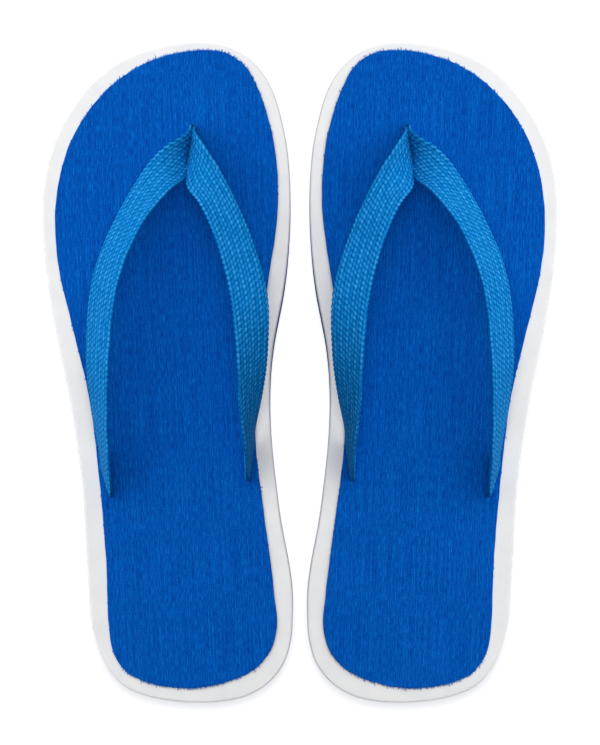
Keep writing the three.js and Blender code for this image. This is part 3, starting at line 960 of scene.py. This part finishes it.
def make_stitching(shoe, material):
    """The doubled thread that runs to and fro through both straps above the toe slot."""
    box_low, box_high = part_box("left_toe_stitching")
    height = (box_low[2] + box_high[2]) / 2
    middle = np.array([TOE_SLOT[0] * MM, TOE_SLOT[1] * MM, height])
    along, across = direction(TOE_SLOT[2]), direction(TOE_SLOT[2] + 90)
    reach = PAIR_OFFSET + CAD_THICKNESS / 2 + STITCH_STANDOFF
    corners = []
    for i in range(STITCHES):
        side = 1 if i % 2 == 0 else -1
        shift = (i - (STITCHES - 1) / 2) * STITCH_PITCH
        for end in (-side, side):
            corners.append(middle + along * shift + across * end * reach)
    route = catmull_rom(corners, 14, True)
    travel = np.concatenate([[0], np.cumsum(np.linalg.norm(np.diff(route, axis=0), axis=1))])
    bodies = []
    for strand in (0, math.pi):
        twist = 2 * math.pi * travel / TWIST_LENGTH + strand
        turned = np.outer(np.cos(twist), (0, 0, 1)) + np.outer(np.sin(twist), along)
        bodies.append(loft(tube(route + STRAND_OFFSET * turned, THREAD_RADIUS, 8)))
    points, faces = merge(bodies)
    points = points * (SIDES[shoe], 1, 1)
    if SIDES[shoe] < 0:
        faces = [face[::-1] for face in faces]
    piece = make_piece(shoe, "toe_thread", points, faces, material)
    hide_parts(f"{shoe}_toe_stitching")


# ---- Making the pair ----

materials = {
    "white foam": foam_material("white_foam", srgb(224, 224, 224), srgb(218, 219, 220), 0.6),
    "blue foam": foam_material("blue_foam", srgb(30, 66, 132), srgb(24, 56, 116), 0.6),
    "tread foam": foam_material("tread_foam", srgb(28, 58, 116), srgb(22, 48, 100), 0.66),
    "webbing": webbing_material(),
    "thread": thread_material(),
    "fray": fray_material(),
    "plate": plate_material(),
}
for shoe in SIDES:
    materials["fabric", shoe] = fabric_material(shoe)

for shoe in SIDES:
    cloth_outline = make_sole(shoe, materials)
    make_frays(shoe, cloth_outline, materials["fray"])
    make_strap(shoe, "lateral_strap", LATERAL_ROUTE, -1, LATERAL_SLOT, materials["webbing"])
    make_strap(shoe, "medial_strap", MEDIAL_ROUTE, 1, MEDIAL_SLOT, materials["webbing"])
    make_stitching(shoe, materials["thread"])
    for anchor in ("toe", "lateral", "medial"):
        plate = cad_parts[f"{shoe}_{anchor}_anchor_plate"]
        plate.material_slots[0].material = materials["plate"]


# ---- Floor and light ----

FLOOR_REACH = 3.0  # metres to each side
FLOOR_DROP = 0.05 * MM  # below the soles
KEY_PLACE = (-0.95, 0.45, 0.95)  # for the left shoe, and mirrored for the right one
KEY_AIM = (-0.053, 0.06, 0)


def make_floor():
    """A plain pale floor that glows a little."""
    mesh = bpy.data.meshes.new("floor")
    corners = [(-1, -1), (1, -1), (1, 1), (-1, 1)]
    points = [(x * FLOOR_REACH, y * FLOOR_REACH, GROUND - FLOOR_DROP) for x, y in corners]
    mesh.from_pydata(points, [], [(0, 1, 2, 3)])
    floor = bpy.data.objects.new("floor", mesh)
    bpy.context.collection.objects.link(floor)
    shader = Shader("pale_floor", 0.9, (0.9, 0.9, 0.9, 1), Emission_Strength=0.6)
    shader.surface.inputs["Emission Color"].default_value = (1, 1, 1, 1)
    mesh.materials.append(shader.material)
    floor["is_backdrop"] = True


def area_light(name, place, aim, size, power, receivers=None):
    """A round light; with `receivers`, it lights only the objects in that collection."""
    data = bpy.data.lights.new(name, "AREA")
    data.shape = "DISK"
    data.size = size
    data.energy = power
    light = bpy.data.objects.new(name, data)
    light.location = place
    toward = np.array(aim) - place
    light.rotation_euler = Vector(toward).to_track_quat("-Z", "Y").to_euler()
    bpy.context.collection.objects.link(light)
    if receivers:
        light.light_linking.receiver_collection = receivers


make_floor()
for shoe, sign in SIDES.items():
    lit = bpy.data.collections.new(f"{shoe}_lit")
    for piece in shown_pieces():
        if piece.name.startswith(shoe):
            lit.objects.link(piece)
    mirror = np.array([sign, 1, 1])
    area_light(f"{shoe}_key", KEY_PLACE * mirror, KEY_AIM * mirror, size=1.8, power=15, receivers=lit)
area_light("toe_side", (0, 0.9, 0.8), (0, 0.1, 0), size=0.9, power=4)
area_light("overhead", (0, 0.3, 1.8), (0, 0.3, 0), size=0.8, power=13)

world = bpy.data.worlds.new("studio")
world.use_nodes = True
sky = world.node_tree.nodes["Background"]
sky.inputs["Color"].default_value = (0.97, 0.98, 1, 1)
sky.inputs["Strength"].default_value = 0.2
bpy.context.scene.world = world
bpy.context.scene.view_settings.view_transform = "Standard"
